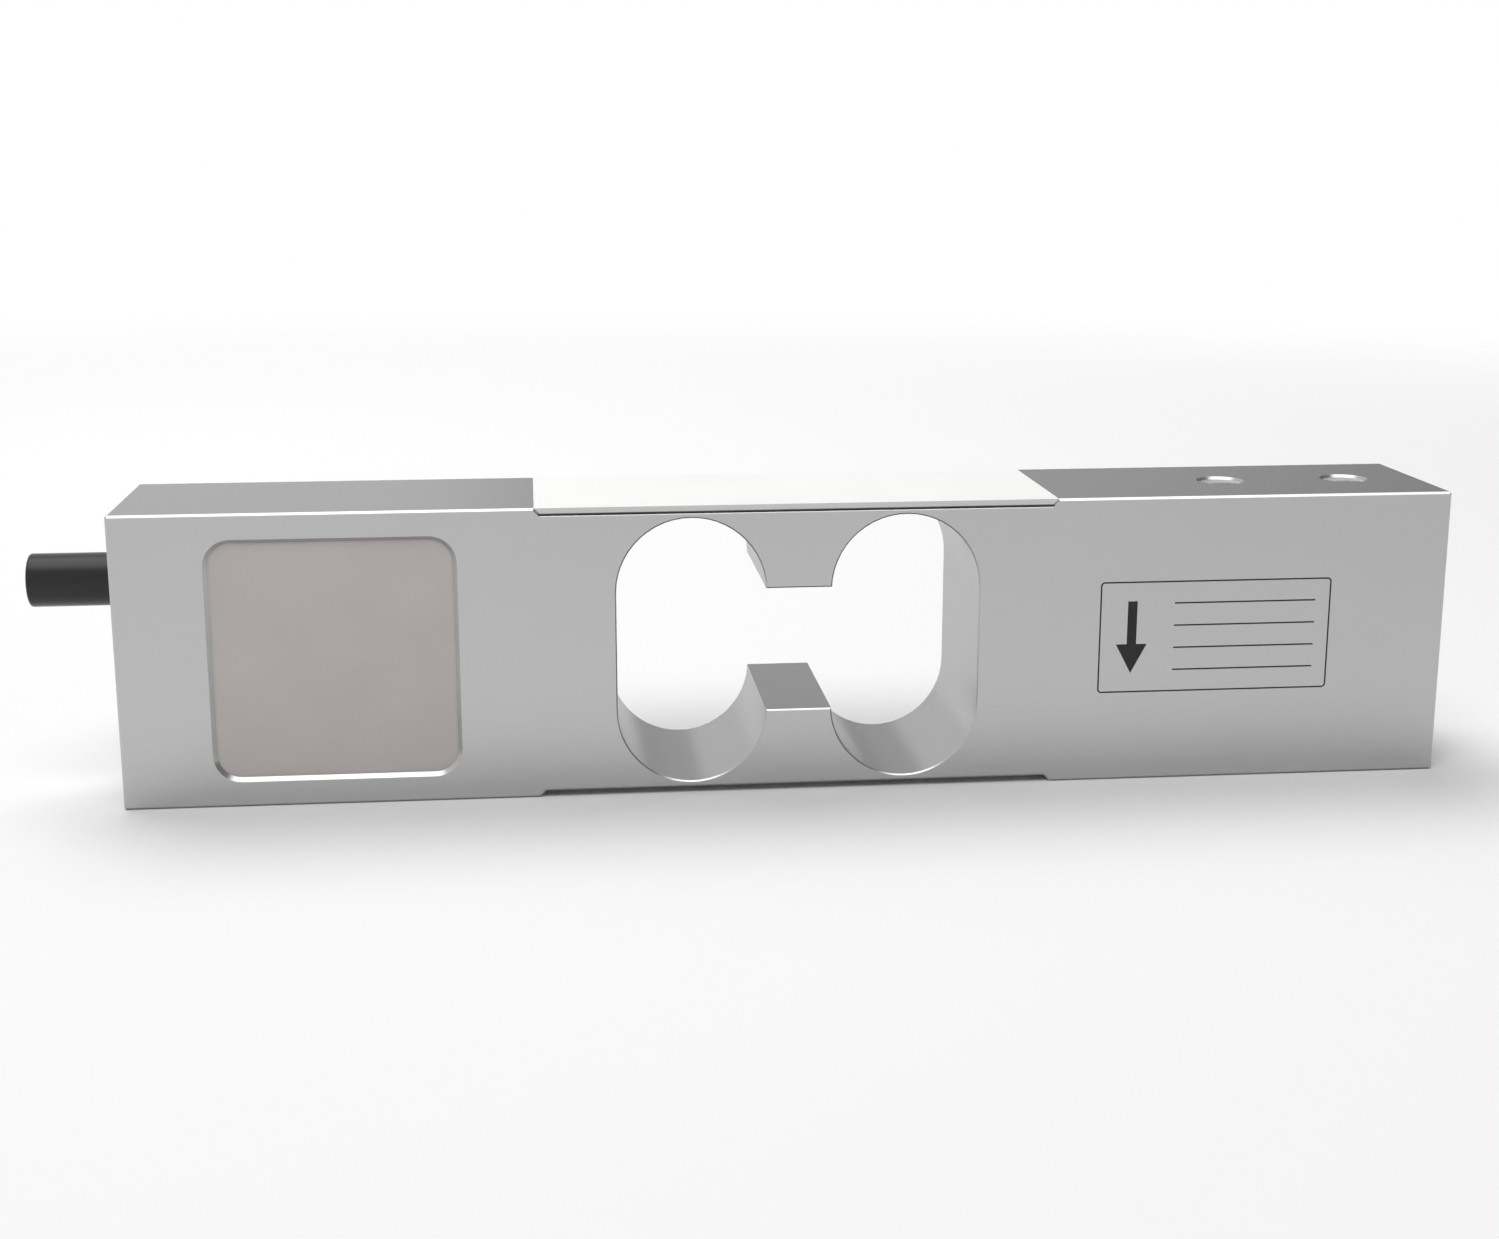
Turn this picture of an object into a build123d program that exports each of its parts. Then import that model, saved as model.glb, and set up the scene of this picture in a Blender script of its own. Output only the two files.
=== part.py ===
from build123d import *
from math import atan2, cos, degrees, radians, sin, tan
import os

# Weighing load cell: a machined aluminium beam with a milled flexure cavity, bonded strain gauges above and
# below it, a wiring pocket behind a cover plate, and a short stub of its cable. Millimetres.
# +X runs along the beam from the fixed, cable end to the loaded end, the pocket opens towards -Y, +Z is up.
# The origin is the centre of the two fixed-end holes, on the bottom face.

# Beam
body_length = 150.0
body_width = 21.0
body_height = 33.0
edge_break = 0.25

# Recess for the gauges, the same on the top and the bottom
recess_length = 58.5
recess_depth = 0.7

# Flexure cavity: two upright slots joined by a level channel
flexure_thickness = 0.7
slot_width = 16.7
slot_spacing = 24.1
channel_height = 14.0
cavity_edge_break = 0.15
largest_break_share = 0.4

# Tapped holes, two in line at each end
tap_radius = 2.5
hole_depth = 15.0
hole_spacing = 15.0
hole_end_distance = 8.8
hole_countersink = 0.3
drill_point_angle = 118.0

# Wiring pocket in the front face, with a bevelled rim and a ledge for its cover
pocket_end_distance = 10.4
pocket_width = 26.4
pocket_height = 26.4
pocket_corner = 2.6
pocket_rim = 0.45
pocket_depth = 6.5
ledge_width = 1.2

# Cover plate and the bond under it
cover_recess = 0.45
cover_thickness = 1.0
cover_gap = 0.1
cover_bond_thickness = 0.2

# Cable: a round jacket over a braided shield, a filler, four cores and a drain wire
cable_radius = 3.0
cable_rise = 7.5
cable_stub_length = 10.5
cable_end_round = 0.3
jacket_wall = 0.8
shield_thickness = 0.25
core_radius = 0.65
core_spread = 0.75
conductor_radius = 0.3
drain_radius = 0.2
drain_offset = 1.7

# Cable bore, its sealant and the crimped ferrule that stops the cable from pulling out
cable_bore_gap = 0.3
cable_seal_length = 8.0
ferrule_wall = 1.0
ferrule_length = 3.5
ferrule_gap = 0.2
strip_step = 0.5

# Entry slot behind the pocket floor, where the cores turn out of the cable towards the board
entry_slot_margin = 0.65
entry_slot_end_gap = 0.55
core_spacing = 2.0
core_bend = 2.0
drain_bend = 0.9
drain_exit_gap = 0.1

# Bridge board at the pocket floor
board_gap = 0.75
board_thickness = 0.8
board_bond_thickness = 0.25
board_bond_margin = 1.5
pad_size = 0.9
pad_thickness = 0.05
core_pad_inset = 1.6
insulation_stop = 0.4

# Trimming resistors, in a grid of columns and rows on the board
resistor_length = 3.2
resistor_width = 1.6
resistor_thickness = 0.6
resistor_edge = 0.05
resistor_column_spacing = 5.0
resistor_row_spacing = 3.6
resistor_margin = 1.6
resistor_names = ["zero_balance", "zero_drift", "span_trim", "span_temperature", "input_trim", "output_trim"]
resistor_rows = 2

# Strain gauges: a carrier film with a folded foil grid and two tabs
carrier_length = 8.0
carrier_width = 6.0
carrier_thickness = 0.1
grid_length = 4.0
grid_lines = 8
grid_line_width = 0.2
grid_line_spacing = 0.4
grid_thickness = 0.05
tab_length = 1.2
tab_neck = 0.5
tab_gap = 0.6

# Terminal strips beside the wire passages
strip_gap = 0.8
strip_shift = 2.3
strip_length = 3.0
strip_pad_spacing = 2.2
strip_pad_size = 1.4

# Wires of the gauges
wire_radius = 0.1
wire_height = 0.3
wire_bend = 0.6
lead_radius = 0.1
lead_spacing = 0.55
lead_bend = 0.8
lead_end_bend = 0.4
lead_column_spacing = 1.1
lead_column_margin = 1.35
top_lead_row = 4.2
bottom_lead_row = 6.0
jumper_side_gap = 1.4
jumper_step = 1.0

# Drilled passages from the recesses to the pocket
passage_radius = 1.1
passage_exit_rise = 7.5
passage_mouth_distance = 2.25

# Solder, with a film of it under each wire end
solder_film = 0.05
gauge_solder_radius = 0.25
gauge_solder_height = 0.27
board_solder_radius = 0.42
board_solder_height = 0.75
solder_taper = 0.6

# Sealants over the gauges
top_seal_side_gap = 0.05
bottom_seal_thickness = 0.45
bottom_seal_side_gap = 2.2
bottom_seal_end_gap = 0.4

# Marking on the front of the loaded end: a frame with a load arrow and blank ruled lines
marking_end_distance = 27.1
marking_rise = 0.35
marking_width = 27.0
marking_height = 13.0
marking_corner = 0.5
marking_line = 0.18
marking_depth = 0.08
arrow_height = 8.4
arrow_head_length = 3.4
arrow_head_width = 3.6
arrow_shaft_width = 1.1
arrow_margin = 3.8
rule_length = 16.5
rule_margin = 1.8
rule_spacing = 2.6
rule_count = 4

# Cutting tools run past the faces that they open by this much
overcut = 1.0

# An edge counts as lying in a face within this distance
near = 0.01

# Places that several pieces share
end_x = -(hole_end_distance + hole_spacing / 2)
mid_x = end_x + body_length / 2
mid_z = body_height / 2
cable_z = mid_z + cable_rise
front_y = -body_width / 2
slot_height = body_height - 2 * (recess_depth + flexure_thickness)
recess_floor_z = body_height - recess_depth
recess_start_x = mid_x - recess_length / 2 + recess_depth

pocket_x = end_x + pocket_end_distance + pocket_width / 2
ledge_depth = cover_recess + cover_thickness + cover_bond_thickness
inner_width = pocket_width - 2 * ledge_width
inner_height = pocket_height - 2 * ledge_width
inner_left_x = pocket_x - inner_width / 2
inner_right_x = pocket_x + inner_width / 2
inner_bottom_z = mid_z - inner_height / 2

shield_radius = cable_radius - jacket_wall
filler_radius = shield_radius - shield_thickness
ferrule_radius = cable_radius + ferrule_wall
entry_slot_radius = ferrule_radius + ferrule_gap
entry_slot_start_x = inner_left_x + entry_slot_margin
ferrule_start_x = entry_slot_start_x + entry_slot_radius + ferrule_gap
jacket_end_x = ferrule_start_x + ferrule_length + ferrule_gap
shield_end_x = jacket_end_x + strip_step
filler_end_x = shield_end_x + strip_step
drain_exit_x = filler_end_x + drain_bend + drain_exit_gap
cable_tip_x = end_x - cable_stub_length

board_front_depth = pocket_depth - board_bond_thickness - board_thickness
board_front_y = front_y + board_front_depth
pad_front_y = board_front_y - pad_thickness
board_left_x = inner_left_x + board_gap
board_right_x = inner_right_x - board_gap
board_bottom_z = inner_bottom_z + board_gap
board_top_z = cable_z - entry_slot_radius - board_gap
core_pad_z = board_top_z - core_pad_inset

passage_y = front_y + (ledge_depth + board_front_depth) / 2
passage_mouth_x = recess_start_x + passage_mouth_distance
passage_rise = recess_floor_z - mid_z - passage_exit_rise
passage_angle = atan2(passage_rise, passage_mouth_x - inner_right_x)
strip_x = passage_mouth_x + passage_radius / sin(passage_angle) + strip_gap + strip_length / 2
strip_y = passage_y + strip_shift
wire_z = recess_floor_z + wire_height
tab_reach = grid_length / 2 + tab_neck + tab_length / 2
tab_side = grid_line_spacing * (grid_lines - 1) / 2 + grid_line_width / 2
tab_y = (tab_side + tab_gap / 2) / 2
gauge_places = {"fixed": mid_x - slot_spacing / 2, "load": mid_x + slot_spacing / 2}

# Core colours with the side and height of each in the cable, in the order in which they leave it
cores = {"green": (-1, 1), "white": (-1, -1), "red": (1, 1), "black": (1, -1)}


def from_front(sketch, start, finish):
    # The sketch is drawn in X and Z, and start and finish are depths behind the front face
    plane = Plane(origin=(0, front_y + finish, 0), x_dir=(1, 0, 0), z_dir=(0, -1, 0))
    return extrude(plane * sketch, finish - start)


def through_width(sketch, reach):
    return extrude(Plane.XZ * sketch, reach, both=True)


def along_x(radius, start_x, finish_x, y=0.0, z=cable_z):
    length = finish_x - start_x
    return Pos(start_x + length / 2, y, z) * Rot(0, 90, 0) * Cylinder(radius, length)


def tube(points, radius, bend_radii, bore=0.0):
    # A round wire along straight runs and arcs
    path = FilletPolyline(*points, radius=bend_radii)
    section = Circle(radius)
    if bore:
        section -= Circle(bore)
    return sweep(Plane(origin=path @ 0, z_dir=path % 0) * section, path=path)


def to_side(part, side):
    # Pieces of the gauges are drawn on the top and mirrored to the bottom
    if side == "bottom":
        return mirror(part, about=Plane.XY.offset(mid_z))
    return part


def joined(pieces):
    return Compound(children=[solid for piece in pieces for solid in piece.solids()])


# Beam

def recess_section(side):
    half = recess_length / 2
    face_z = side * body_height / 2
    floor_z = side * (body_height / 2 - recess_depth)
    floor_half = half - recess_depth
    return Polygon((-half, face_z), (half, face_z), (floor_half, floor_z), (-floor_half, floor_z), align=None)


def cavity_section():
    section = Rectangle(slot_spacing, channel_height)
    for side in (-1, 1):
        section += Pos(side * slot_spacing / 2, 0) * SlotOverall(slot_height, slot_width, rotation=90)
    return section


def pocket_section(width, height, corner):
    return Pos(pocket_x, mid_z) * RectangleRounded(width, height, corner)


def inner_pocket_section():
    return pocket_section(inner_width, inner_height, pocket_corner - ledge_width)


def core_exit_x(place):
    return drain_exit_x + (place + 1) * core_spacing


def entry_slot_section():
    finish_x = core_exit_x(len(cores) - 1) + core_radius + entry_slot_end_gap
    length = finish_x - entry_slot_start_x
    return Pos(entry_slot_start_x + length / 2, cable_z) * SlotOverall(length, 2 * entry_slot_radius)


def tapped_hole(x, side):
    # A blind hole drilled down from the top, or up from the bottom
    point_height = tap_radius / tan(radians(drill_point_angle / 2))
    drill = Pos(0, 0, -hole_depth / 2) * Cylinder(tap_radius, hole_depth)
    drill += Pos(0, 0, -hole_depth - point_height / 2) * Cone(0, tap_radius, point_height)
    drill += Pos(0, 0, -hole_countersink / 2) * Cone(tap_radius, tap_radius + hole_countersink, hole_countersink)
    if side == "top":
        return Pos(x, 0, body_height) * drill
    return Pos(x, 0, 0) * Rot(180, 0, 0) * drill


def wire_passage(side):
    run = (passage_mouth_x - inner_right_x) / cos(passage_angle) + 2 * overcut
    centre_x = (passage_mouth_x + inner_right_x) / 2
    centre_z = mid_z + passage_exit_rise + passage_rise / 2
    drill = Pos(centre_x, passage_y, centre_z) * Rot(0, 90 - degrees(passage_angle), 0)
    return to_side(drill * Cylinder(passage_radius, run), side)


def marking_section():
    outer = RectangleRounded(marking_width, marking_height, marking_corner)
    inner_size = (marking_width - 2 * marking_line, marking_height - 2 * marking_line)
    section = outer - RectangleRounded(*inner_size, marking_corner - marking_line)
    arrow_x = -marking_width / 2 + arrow_margin
    neck_z = -arrow_height / 2 + arrow_head_length
    tip_z = -arrow_height / 2
    head_half = arrow_head_width / 2
    head = Polygon((arrow_x - head_half, neck_z), (arrow_x, tip_z), (arrow_x + head_half, neck_z), align=None)
    shaft_length = arrow_height - arrow_head_length
    shaft = Pos(arrow_x, neck_z + shaft_length / 2) * Rectangle(arrow_shaft_width, shaft_length)
    section += head + shaft
    rule_x = marking_width / 2 - rule_margin - rule_length / 2
    for row in range(rule_count):
        rule_z = (row - (rule_count - 1) / 2) * rule_spacing
        section += Pos(rule_x, rule_z) * Rectangle(rule_length, marking_line)
    return Pos(end_x + body_length - marking_end_distance, mid_z + marking_rise) * section


def side_edges(body):
    # Edges that lie in the front or the back face
    return body.edges().filter_by(lambda edge: abs(abs(edge.center().Y) - body_width / 2) < near)


def opening_edges(body, x, width, height):
    # Side edges round an opening of this size, centred at this X and at mid height
    def is_round_it(edge):
        centre = edge.center()
        return abs(centre.X - x) < width / 2 + near and abs(centre.Z - mid_z) < height / 2 + near
    return side_edges(body).filter_by(is_round_it)


def beam_body():
    section = Rectangle(body_length, body_height) - recess_section(1) - recess_section(-1)
    body = through_width(Pos(mid_x, mid_z) * section, body_width / 2)
    ends = body.edges().filter_by(Axis.Y).filter_by(lambda edge: abs(edge.center().X - mid_x) > body_length / 2 - near)
    body = chamfer(ends + side_edges(body), min(edge_break, largest_break_share * flexure_thickness))
    body -= through_width(Pos(mid_x, mid_z) * cavity_section(), body_width)
    cavity_edges = opening_edges(body, mid_x, slot_spacing + slot_width, slot_height)
    body = chamfer(cavity_edges, min(cavity_edge_break, largest_break_share * flexure_thickness))
    body -= from_front(pocket_section(pocket_width, pocket_height, pocket_corner), -overcut, ledge_depth)
    body = chamfer(opening_edges(body, pocket_x, pocket_width, pocket_height), pocket_rim)
    body -= from_front(inner_pocket_section(), 0, pocket_depth)
    body -= from_front(entry_slot_section(), pocket_depth - overcut, body_width / 2 + entry_slot_radius)
    body -= along_x(cable_radius + cable_bore_gap, end_x - overcut, entry_slot_start_x + entry_slot_radius)
    for side in ("top", "bottom"):
        body -= wire_passage(side)
    for place in (-1, 1):
        body -= tapped_hole(place * hole_spacing / 2, "bottom")
        load_x = end_x + body_length - hole_end_distance - hole_spacing / 2
        body -= tapped_hole(load_x + place * hole_spacing / 2, "top")
    return body - from_front(marking_section(), 0, marking_depth)


# Strain gauges and their wiring, drawn in the top recess

def on_recess_floor(sketch, start, finish):
    return extrude(Pos(0, 0, recess_floor_z + start) * sketch, finish - start)


def gauge_carrier(place):
    film = RectangleRounded(carrier_length, carrier_width, grid_line_spacing)
    return on_recess_floor(Pos(gauge_places[place], 0) * film, 0, carrier_thickness)


def gauge_grid(place):
    # Lines along the beam, joined in pairs at alternate ends, and a tab at each outer line
    foil = Sketch()
    first_y = -grid_line_spacing * (grid_lines - 1) / 2
    for line in range(grid_lines):
        line_y = first_y + line * grid_line_spacing
        foil += Pos(0, line_y) * Rectangle(grid_length, grid_line_width)
        if line < grid_lines - 1:
            end = 1 if line % 2 == 0 else -1
            turn = Rectangle(grid_line_width, grid_line_spacing + grid_line_width)
            foil += Pos(end * (grid_length - grid_line_width) / 2, line_y + grid_line_spacing / 2) * turn
    for side in (-1, 1):
        neck_y = side * (tab_side - grid_line_width / 2)
        foil += Pos(-(grid_length + tab_neck) / 2, neck_y) * Rectangle(tab_neck, grid_line_width)
        foil += Pos(-tab_reach, side * tab_y) * Rectangle(tab_length, tab_side - tab_gap / 2)
    return on_recess_floor(Pos(gauge_places[place], 0) * foil, carrier_thickness, carrier_thickness + grid_thickness)


def strip_pad_y(place):
    return strip_y + place * strip_pad_spacing


def terminal_strip():
    width = 2 * strip_pad_spacing + strip_pad_size + grid_line_spacing
    strip = on_recess_floor(Pos(strip_x, strip_y) * Rectangle(strip_length, width), 0, carrier_thickness)
    for place in (-1, 0, 1):
        pad = Pos(strip_x, strip_pad_y(place)) * Rectangle(strip_length - grid_line_spacing, strip_pad_size)
        strip += on_recess_floor(pad, carrier_thickness, carrier_thickness + grid_thickness)
    return strip


def jumper_ends():
    # From each tab to its pad on the strip: the way's turns in X and Y
    fixed_x = gauge_places["fixed"] - tab_reach
    load_x = gauge_places["load"] - tab_reach
    side_y = carrier_width / 2 + jumper_side_gap
    pad_x = strip_x + strip_length / 4
    common_y = strip_pad_y(1)
    half_pad = strip_pad_size / 4
    near_x = gauge_places["fixed"] - carrier_length / 2 - jumper_step / 2
    return [
        [(fixed_x, -tab_y), (near_x, -tab_y), (near_x, strip_pad_y(0)), (pad_x, strip_pad_y(0))],
        [(fixed_x, tab_y), (near_x - jumper_step, tab_y), (near_x - jumper_step, common_y - half_pad),
         (pad_x, common_y - half_pad)],
        [(load_x, -tab_y), (load_x - 2 * jumper_step, -tab_y), (load_x - 2 * jumper_step, strip_pad_y(-1)),
         (pad_x, strip_pad_y(-1))],
        [(load_x, tab_y), (load_x - 2 * jumper_step, tab_y), (load_x - 2 * jumper_step, side_y),
         (near_x - 2 * jumper_step, side_y), (near_x - 2 * jumper_step, common_y + half_pad),
         (pad_x, common_y + half_pad)],
    ]


def gauge_jumpers():
    return joined([tube([(x, y, wire_z) for x, y in turns], wire_radius, wire_bend) for turns in jumper_ends()])


def lead_column_x(place):
    return inner_right_x - lead_column_margin - (place + 1) * lead_column_spacing


def lead_points(place, row_below_top):
    # From the strip, down the passage and into the pocket, then on to the board
    way_y = passage_y + place * lead_spacing
    column_x = lead_column_x(place)
    entry_x = passage_mouth_x + wire_height / tan(passage_angle)
    exit_z = mid_z + passage_exit_rise
    return [
        (strip_x - strip_length / 4, strip_pad_y(place), wire_z),
        (entry_x, way_y, wire_z),
        (inner_right_x, way_y, exit_z),
        (column_x, way_y, exit_z),
        (column_x, way_y, board_top_z - row_below_top),
        (column_x, pad_front_y, board_top_z - row_below_top),
    ]


def gauge_leads(side):
    leads = []
    for place in (-1, 0, 1):
        if side == "top":
            points = lead_points(place, top_lead_row)
        else:
            points = lead_points(place, board_top_z - (body_height - (board_top_z - bottom_lead_row)))
        bends = [lead_bend, lead_bend, lead_bend, lead_end_bend]
        leads.append(to_side(tube(points, lead_radius, bends), side))
    return joined(leads)


def gauge_solder(wires):
    # A small cone over each wire end on a tab or a pad, with the wire's way cut out of it
    places = set()
    for turns in jumper_ends():
        places.update([turns[0], turns[-1]])
    for place in (-1, 0, 1):
        places.add((strip_x - strip_length / 4, strip_pad_y(place)))
    base_z = recess_floor_z + carrier_thickness + grid_thickness
    drops = []
    for x, y in sorted(places):
        cone = Cone(gauge_solder_radius, gauge_solder_radius * solder_taper, gauge_solder_height)
        drops.append(Pos(x, y, base_z + gauge_solder_height / 2) * cone)
    return joined([drop - wires for drop in drops])


def gauge_seal(side, fillings):
    if side == "top":
        section = Pos(mid_x, mid_z) * recess_section(1)
        seal = through_width(section, body_width / 2 - top_seal_side_gap)
    else:
        width = body_width - 2 * bottom_seal_side_gap
        length = recess_length - 2 * (recess_depth + bottom_seal_end_gap)
        seal = on_recess_floor(Pos(mid_x, 0) * RectangleRounded(length, width, edge_break), 0, bottom_seal_thickness)
        seal = to_side(seal, side)
    for filling in fillings:
        seal -= filling
    return seal


# Pocket: cover, bond, board and potting

def pocket_cover():
    section = pocket_section(pocket_width - 2 * cover_gap, pocket_height - 2 * cover_gap, pocket_corner - cover_gap)
    cover = from_front(section, cover_recess, cover_recess + cover_thickness)
    outer_edges = cover.faces().sort_by(Axis.Y)[0].edges()
    return chamfer(outer_edges, cover_gap)


def cover_bond():
    section = pocket_section(pocket_width - 2 * cover_gap, pocket_height - 2 * cover_gap, pocket_corner - cover_gap)
    return from_front(section - inner_pocket_section(), cover_recess + cover_thickness, ledge_depth)


def board_section(margin):
    width = board_right_x - board_left_x - 2 * margin
    height = board_top_z - board_bottom_z - 2 * margin
    return Pos((board_left_x + board_right_x) / 2, (board_bottom_z + board_top_z) / 2) * Rectangle(width, height)


def resistor_places():
    places = {}
    for number, name in enumerate(resistor_names):
        column, row = divmod(number, resistor_rows)
        x = board_left_x + resistor_margin + resistor_length / 2 + column * resistor_column_spacing
        z = board_bottom_z + resistor_margin + resistor_width / 2 + row * resistor_row_spacing
        places[name] = (x, z)
    return places


def resistor(x, z):
    chip = Pos(x, z) * Rectangle(resistor_length, resistor_width)
    seat = board_front_depth - pad_thickness
    part = from_front(chip, seat - resistor_thickness, seat)
    return chamfer(part.faces().sort_by(Axis.Y)[0].edges(), resistor_edge)


def core_pads():
    places = [(drain_exit_x, core_pad_z)]
    places += [(core_exit_x(place), core_pad_z) for place in range(len(cores))]
    return places


def lead_pads():
    columns = [lead_column_x(place) for place in (-1, 0, 1)]
    return [(x, board_top_z - row) for row in (top_lead_row, bottom_lead_row) for x in columns]


def board_copper():
    pads = Sketch()
    for x, z in core_pads() + lead_pads():
        pads += Pos(x, z) * Rectangle(pad_size, pad_size)
    for x, z in resistor_places().values():
        for end in (-1, 1):
            pads += Pos(x + end * (resistor_length - pad_size) / 2, z) * Rectangle(pad_size, resistor_width)
    return joined([from_front(pads, board_front_depth - pad_thickness, board_front_depth)])


def board_solder(wires):
    drops = []
    for x, z in core_pads() + lead_pads():
        cone = Cone(board_solder_radius, board_solder_radius * solder_taper, board_solder_height)
        drop = Pos(x, pad_front_y - board_solder_height / 2, z) * Rot(90, 0, 0) * cone
        drops.append(drop - wires)
    return joined(drops)


# Cable

def core_points(place, side, rise, finish_z):
    # Straight through the cable, out towards the front, then down to the board
    exit_x = core_exit_x(place)
    y = side * core_spread
    z = cable_z + rise * core_spread
    wire_y = pad_front_y - solder_film - conductor_radius
    return [(cable_tip_x, y, z), (exit_x, y, z), (exit_x, wire_y, z), (exit_x, wire_y, finish_z)]


def core_insulation(place, side, rise):
    points = core_points(place, side, rise, board_top_z + insulation_stop)
    return tube(points, core_radius, core_bend, conductor_radius)


def core_conductors():
    wires = []
    for place, (side, rise) in enumerate(cores.values()):
        wires.append(tube(core_points(place, side, rise, core_pad_z), conductor_radius, core_bend))
    return joined(wires)


def drain_wire():
    z = cable_z - drain_offset
    wire_y = pad_front_y - solder_film - drain_radius
    points = [(cable_tip_x, 0, z), (drain_exit_x, 0, z), (drain_exit_x, wire_y, z), (drain_exit_x, wire_y, core_pad_z)]
    return tube(points, drain_radius, drain_bend)


def cable_jacket():
    jacket = along_x(cable_radius, cable_tip_x, jacket_end_x)
    jacket = fillet(jacket.faces().sort_by(Axis.X)[0].edges(), cable_end_round)
    return jacket - along_x(shield_radius, cable_tip_x, jacket_end_x)


def cable_shield():
    braid = along_x(shield_radius, cable_tip_x, shield_end_x)
    return braid - along_x(filler_radius, cable_tip_x, shield_end_x)


def cable_filler():
    filler = along_x(filler_radius, cable_tip_x, filler_end_x)
    for side, rise in cores.values():
        y = side * core_spread
        filler -= along_x(core_radius, cable_tip_x, filler_end_x, y, cable_z + rise * core_spread)
    return filler - along_x(drain_radius, cable_tip_x, filler_end_x, 0, cable_z - drain_offset)


def cable_ferrule():
    finish_x = ferrule_start_x + ferrule_length
    ring = along_x(ferrule_radius, ferrule_start_x, finish_x)
    ring = chamfer(ring.edges().filter_by(GeomType.CIRCLE), edge_break)
    return ring - along_x(cable_radius, ferrule_start_x, finish_x)


def cable_seal():
    finish_x = end_x + edge_break + cable_seal_length
    ring = along_x(cable_radius + cable_bore_gap, end_x + edge_break, finish_x)
    return ring - along_x(cable_radius, end_x + edge_break, finish_x)


def pocket_potting(fillings):
    potting = from_front(inner_pocket_section(), ledge_depth, pocket_depth)
    potting += from_front(entry_slot_section(), pocket_depth, body_width / 2 + entry_slot_radius)
    for filling in fillings:
        potting -= filling
    return potting


def build():
    parts = {"beam_body": beam_body()}
    for side in ("top", "bottom"):
        jumpers = gauge_jumpers()
        leads = gauge_leads(side)
        solder = gauge_solder(jumpers)
        solder = joined([drop - to_side(leads, side) for drop in solder.solids()])
        group = {
            "terminal_strip_" + side: to_side(terminal_strip(), side),
            "gauge_jumpers_" + side: to_side(jumpers, side),
            "gauge_leads_" + side: leads,
            "gauge_solder_" + side: to_side(solder, side),
        }
        for place in gauge_places:
            group["gauge_carrier_" + side + "_" + place] = to_side(gauge_carrier(place), side)
            group["gauge_grid_" + side + "_" + place] = to_side(gauge_grid(place), side)
        parts.update(group)
        parts[side + "_gauge_seal"] = gauge_seal(side, group.values())

    board = {
        "bridge_board": from_front(board_section(0), board_front_depth, board_front_depth + board_thickness),
        "board_bond": from_front(board_section(board_bond_margin), board_front_depth + board_thickness, pocket_depth),
        "board_copper": board_copper(),
    }
    for name, (x, z) in resistor_places().items():
        board[name + "_resistor"] = resistor(x, z)

    cable = {
        "cable_jacket": cable_jacket(),
        "cable_shield": cable_shield(),
        "cable_filler": cable_filler(),
        "core_conductors": core_conductors(),
        "drain_wire": drain_wire(),
        "cable_ferrule": cable_ferrule(),
    }
    for place, (colour, (side, rise)) in enumerate(cores.items()):
        cable["core_" + colour] = core_insulation(place, side, rise)

    leads = joined([parts["gauge_leads_top"], parts["gauge_leads_bottom"]])
    board["board_solder"] = board_solder(joined([cable["core_conductors"], cable["drain_wire"], leads]))
    parts.update(board)
    parts.update(cable)
    parts["pocket_potting"] = pocket_potting([*board.values(), *cable.values(), leads])
    parts["pocket_cover"] = pocket_cover()
    parts["cover_bond"] = cover_bond()
    parts["cable_seal"] = cable_seal()
    parts["marking_fill"] = joined([from_front(marking_section(), 0, marking_depth)])
    return parts


os.makedirs("parts", exist_ok=True)
for node, part in build().items():
    export_step(part, "parts/" + node + ".step")
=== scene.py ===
import math

import bmesh
import bpy
from mathutils import Matrix, Vector


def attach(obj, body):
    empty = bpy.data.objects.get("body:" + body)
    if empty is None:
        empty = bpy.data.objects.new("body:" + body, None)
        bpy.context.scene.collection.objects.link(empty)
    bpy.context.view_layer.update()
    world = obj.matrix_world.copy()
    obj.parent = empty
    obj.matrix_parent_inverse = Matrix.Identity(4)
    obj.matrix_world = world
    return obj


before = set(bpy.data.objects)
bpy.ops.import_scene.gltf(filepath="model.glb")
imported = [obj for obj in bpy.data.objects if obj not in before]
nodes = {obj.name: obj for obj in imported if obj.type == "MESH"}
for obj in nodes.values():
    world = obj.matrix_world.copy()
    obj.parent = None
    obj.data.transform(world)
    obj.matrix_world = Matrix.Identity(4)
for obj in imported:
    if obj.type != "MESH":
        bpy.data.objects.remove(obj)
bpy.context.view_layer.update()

scene = bpy.context.scene
print("frame loaded:", len(nodes), "nodes")


# Camera, where the photograph was taken from
camera = {
    "place": (0.02937, -0.23908, 0.07368),  # metres
    "tiltDown": 13.15,  # degrees below level
    "turnRight": 5.93,  # degrees from straight at the front face
    "lens": 50.8,  # mm
    "sensorWidth": 36.0,  # mm
    "nearest": 0.005,  # metres, what the camera can still see
    "farthest": 50.0,
}
cameraData = bpy.data.cameras.new("photoCamera")
cameraData.sensor_width = camera["sensorWidth"]
cameraData.lens = camera["lens"]
cameraData.clip_start = camera["nearest"]
cameraData.clip_end = camera["farthest"]
photoCamera = bpy.data.objects.new("photoCamera", cameraData)
photoCamera.location = camera["place"]
photoCamera.rotation_euler = (math.radians(90 - camera["tiltDown"]), 0, -math.radians(camera["turnRight"]))
scene.collection.objects.link(photoCamera)
scene.camera = photoCamera
scene.view_settings.view_transform = "Standard"
print("camera placed")


# Helpers
def metres(millimetres):
    return millimetres / 1000


def perMetre(millimetres):
    return 1000 / millimetres  # a texture scale whose features are this size


def linear(hexColour):
    parts = [int(hexColour[i:i + 2], 16) / 255 for i in (1, 3, 5)]
    return tuple(c / 12.92 if c <= 0.04045 else ((c + 0.055) / 1.055) ** 2.4 for c in parts) + (1.0,)


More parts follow.
